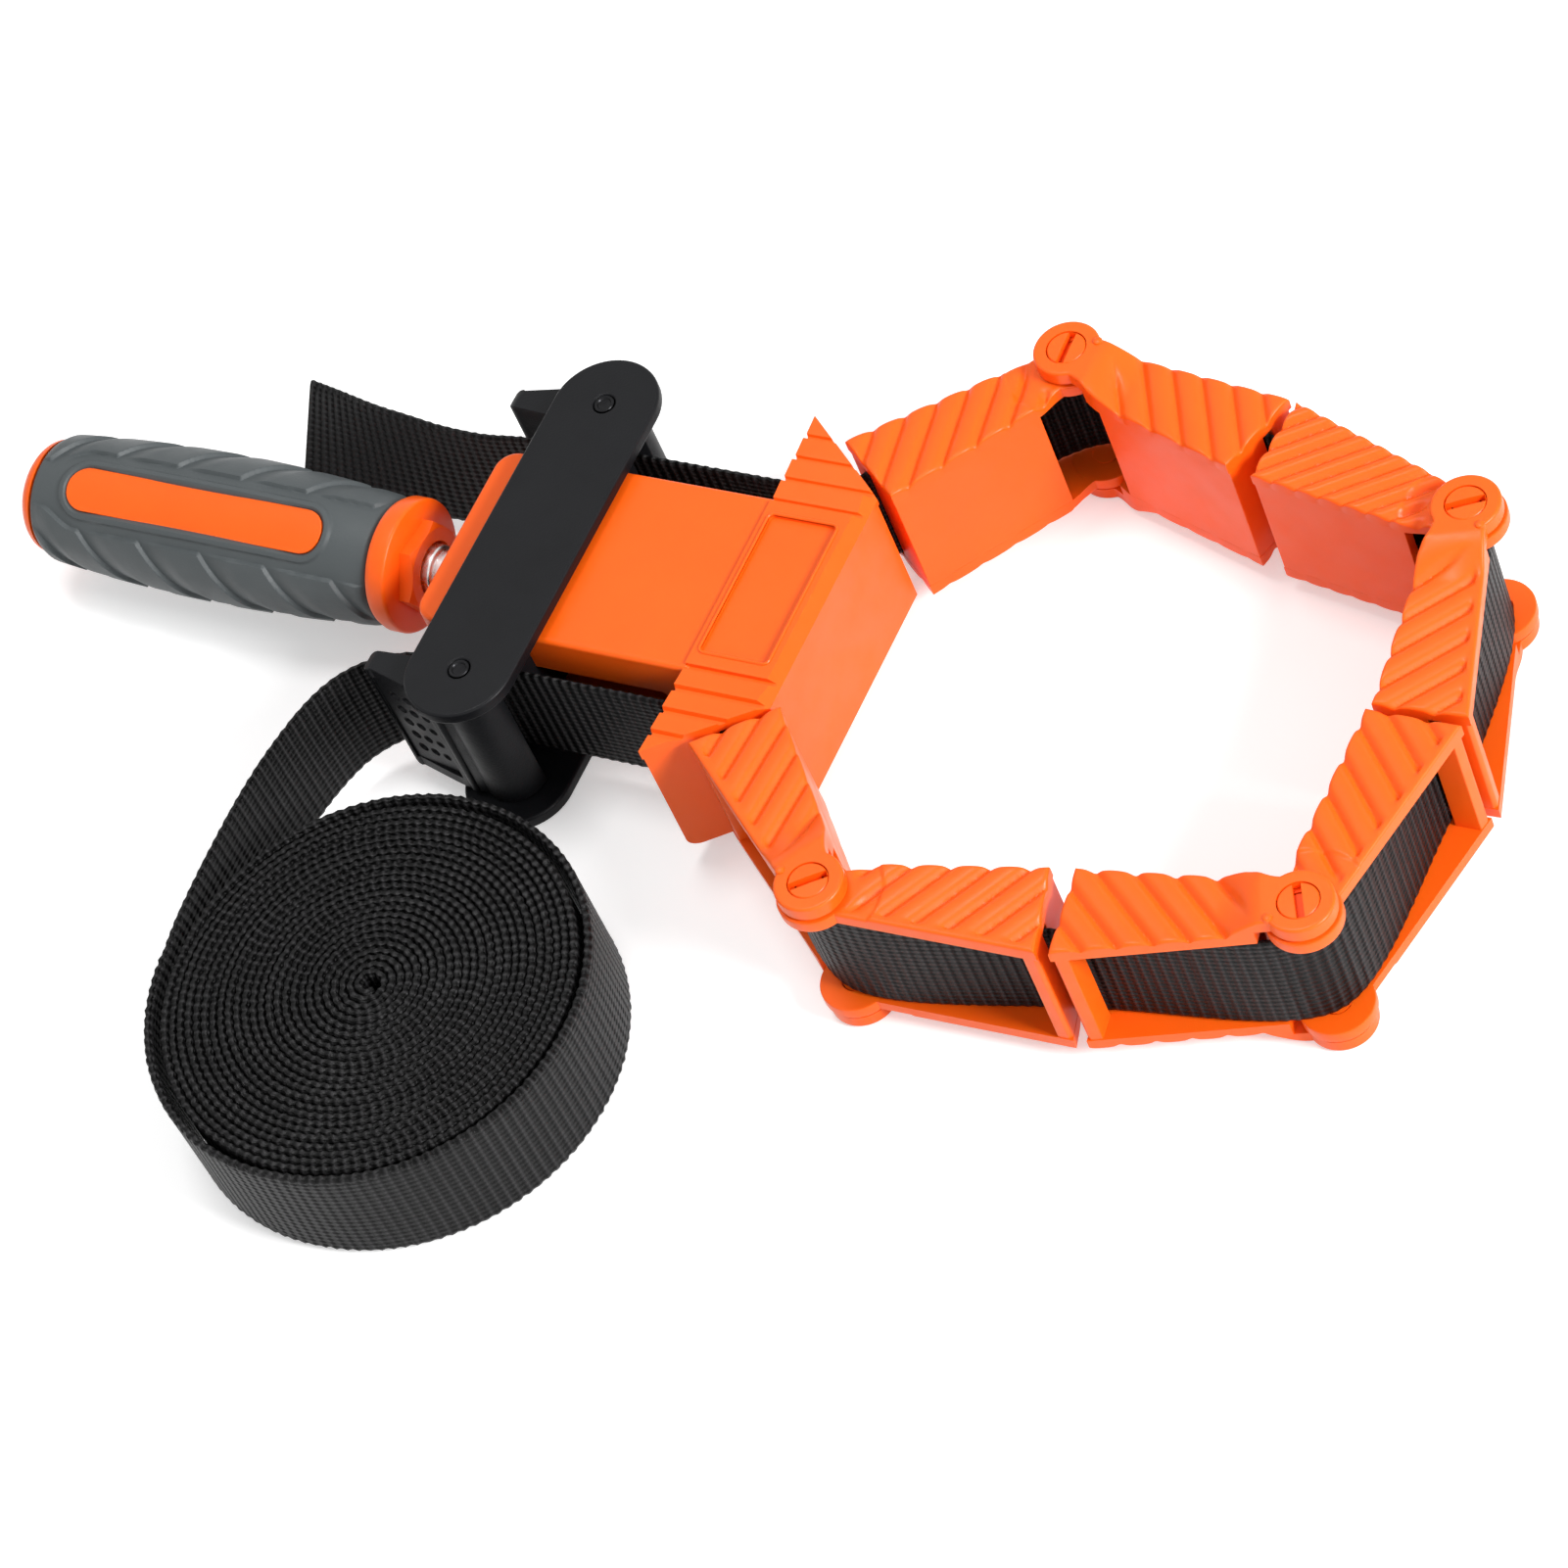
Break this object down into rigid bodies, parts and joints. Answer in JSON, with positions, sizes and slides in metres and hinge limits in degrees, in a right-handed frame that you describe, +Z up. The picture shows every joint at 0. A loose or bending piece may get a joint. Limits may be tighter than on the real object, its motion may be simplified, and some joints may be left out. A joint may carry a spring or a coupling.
{
  "type": "band clamp",
  "caption": "Band clamp with a fixed jaw, folding corner jaws on a flat webbing, cam levers that lock the band and a screw handle that draws it tight.",
  "frame": {"origin": "middle of the fixed jaw's flat clamping face", "axes": "+X square to the clamping face, towards the work and the far corner jaws; +Y across the jaw; +Z up from the surface that the clamp lies on"},
  "size_m": [0.3209, 0.2108, 0.0389],
  "materials": {
    "orange_plastic": "satin",
    "black_plastic": "fine moulded texture",
    "grip_rubber": "matt",
    "bright_steel": "zinc plated",
    "brass": "turned",
    "white_plastic": "plain",
    "webbing": "plain weave"
  },
  "bodies": {
    "frame": {"base_housing": "orange_plastic", "stem_cover": "orange_plastic", "cover_screw_1": "bright_steel", "cover_screw_2": "bright_steel", "cover_screw_3": "bright_steel", "cover_screw_4": "bright_steel", "thrust_washer": "bright_steel", "spindle_bush": "white_plastic", "webbing_in_base_upper": "webbing", "webbing_in_base_lower": "webbing", "webbing_roll": "webbing"},
    "handle": {"handle_grip": "grip_rubber", "handle_core": "orange_plastic", "spindle": "bright_steel", "retaining_clip": "bright_steel"},
    "carrier": {"carrier_top_plate": "black_plastic", "carrier_bottom_plate": "black_plastic", "carrier_block": "black_plastic", "spindle_nut": "brass", "upper_anvil": "black_plastic", "lower_anvil": "black_plastic", "upper_pivot_pin": "bright_steel", "lower_pivot_pin": "bright_steel", "upper_lever_spring": "bright_steel", "lower_lever_spring": "bright_steel", "webbing_run_upper": "webbing", "webbing_run_lower": "webbing", "webbing_free_end": "webbing", "webbing_long_end": "webbing"},
    "lever_upper": {"upper_lever": "black_plastic"},
    "lever_lower": {"lower_lever": "black_plastic"},
    "jaw_a_inner": {"jaw_a_inner_arm": "orange_plastic", "webbing_in_jaw_a_inner": "webbing"},
    "jaw_a_outer": {"jaw_a_outer_arm": "orange_plastic", "webbing_in_jaw_a_outer": "webbing", "jaw_a_upper_hinge_pin": "orange_plastic", "jaw_a_lower_hinge_pin": "orange_plastic"},
    "jaw_b_inner": {"jaw_b_inner_arm": "orange_plastic", "webbing_in_jaw_b_inner": "webbing"},
    "jaw_b_outer": {"jaw_b_outer_arm": "orange_plastic", "webbing_in_jaw_b_outer": "webbing", "jaw_b_upper_hinge_pin": "orange_plastic", "jaw_b_lower_hinge_pin": "orange_plastic"},
    "jaw_d_outer": {"jaw_d_outer_arm": "orange_plastic", "webbing_in_jaw_d_outer": "webbing", "jaw_d_upper_hinge_pin": "orange_plastic", "jaw_d_lower_hinge_pin": "orange_plastic"},
    "jaw_d_inner": {"jaw_d_inner_arm": "orange_plastic", "webbing_in_jaw_d_inner": "webbing"},
    "jaw_c_outer": {"jaw_c_outer_arm": "orange_plastic", "webbing_in_jaw_c_outer": "webbing", "jaw_c_upper_hinge_pin": "orange_plastic", "jaw_c_lower_hinge_pin": "orange_plastic"},
    "jaw_c_inner": {"jaw_c_inner_arm": "orange_plastic", "webbing_in_jaw_c_inner": "webbing"}
  },
  "joints": [
    {"name": "handle_spin", "type": "hinge", "parent": "frame", "child": "handle", "pos_m": [-0.0903, 0, 0], "axis": [1, 0, 0], "range_deg": [-2612, 632]},
    {"name": "carrier_slide", "type": "slide", "parent": "frame", "child": "carrier", "axis": [1, 0, 0], "range_m": [-0.007, 0.029], "deforming": ["webbing_run_upper", "webbing_run_lower", "webbing_long_end"]},
    {"name": "lever_upper_turn", "type": "hinge", "parent": "carrier", "child": "lever_upper", "pos_m": [-0.0633, 0.033, 0], "axis": [0, 0, 1], "range_deg": [-35, 0], "stiffness_Nm_per_rad": 0.02, "springref_deg": 28.65},
    {"name": "lever_lower_turn", "type": "hinge", "parent": "carrier", "child": "lever_lower", "pos_m": [-0.0633, -0.033, 0], "axis": [0, 0, 1], "range_deg": [0, 35], "stiffness_Nm_per_rad": 0.02, "springref_deg": -28.65},
    {"name": "base_fold_a", "type": "hinge", "parent": "frame", "child": "jaw_a_inner", "pos_m": [-0.00692, 0.0317, 0], "axis": [0, 0, 1], "range_deg": [-2, 1.2]},
    {"name": "hinge_a", "type": "hinge", "parent": "jaw_a_inner", "child": "jaw_a_outer", "pos_m": [0.02482, 0.06435, 0], "axis": [0, 0, 1], "range_deg": [-6.5, 11.5]},
    {"name": "fold_ab", "type": "hinge", "parent": "jaw_a_outer", "child": "jaw_b_inner", "pos_m": [0.0703, 0.0564, 0], "axis": [0, 0, 1], "range_deg": [-18, 10]},
    {"name": "hinge_b", "type": "hinge", "parent": "jaw_b_inner", "child": "jaw_b_outer", "pos_m": [0.1149, 0.04448, 0], "axis": [0, 0, 1], "range_deg": [-5, 9]},
    {"name": "base_fold_d", "type": "hinge", "parent": "frame", "child": "jaw_d_outer", "pos_m": [-0.00701, -0.03159, 0], "axis": [0, 0, 1], "range_deg": [-2, 3]},
    {"name": "hinge_d", "type": "hinge", "parent": "jaw_d_outer", "child": "jaw_d_inner", "pos_m": [0.02661, -0.06206, 0], "axis": [0, 0, 1], "range_deg": [-13, 7.5]},
    {"name": "fold_dc", "type": "hinge", "parent": "jaw_d_inner", "child": "jaw_c_outer", "pos_m": [0.07265, -0.05742, 0], "axis": [0, 0, 1], "range_deg": [-10, 18]},
    {"name": "hinge_c", "type": "hinge", "parent": "jaw_c_outer", "child": "jaw_c_inner", "pos_m": [0.11722, -0.045, 0], "axis": [0, 0, 1], "range_deg": [-8.5, 5]}
  ],
  "couplings": [
    {"joint": "handle_spin", "follows": "carrier_slide", "rad_per_m": -1570.8},
    {"joint": "base_fold_a", "follows": "fold_ab", "ratio": 0.0942},
    {"joint": "hinge_a", "follows": "fold_ab", "ratio": -0.6191},
    {"joint": "hinge_b", "follows": "fold_ab", "ratio": -0.4751},
    {"joint": "base_fold_d", "follows": "fold_dc", "ratio": 0.1552},
    {"joint": "hinge_d", "follows": "fold_dc", "ratio": -0.7024},
    {"joint": "hinge_c", "follows": "fold_dc", "ratio": -0.4528}
  ]
}
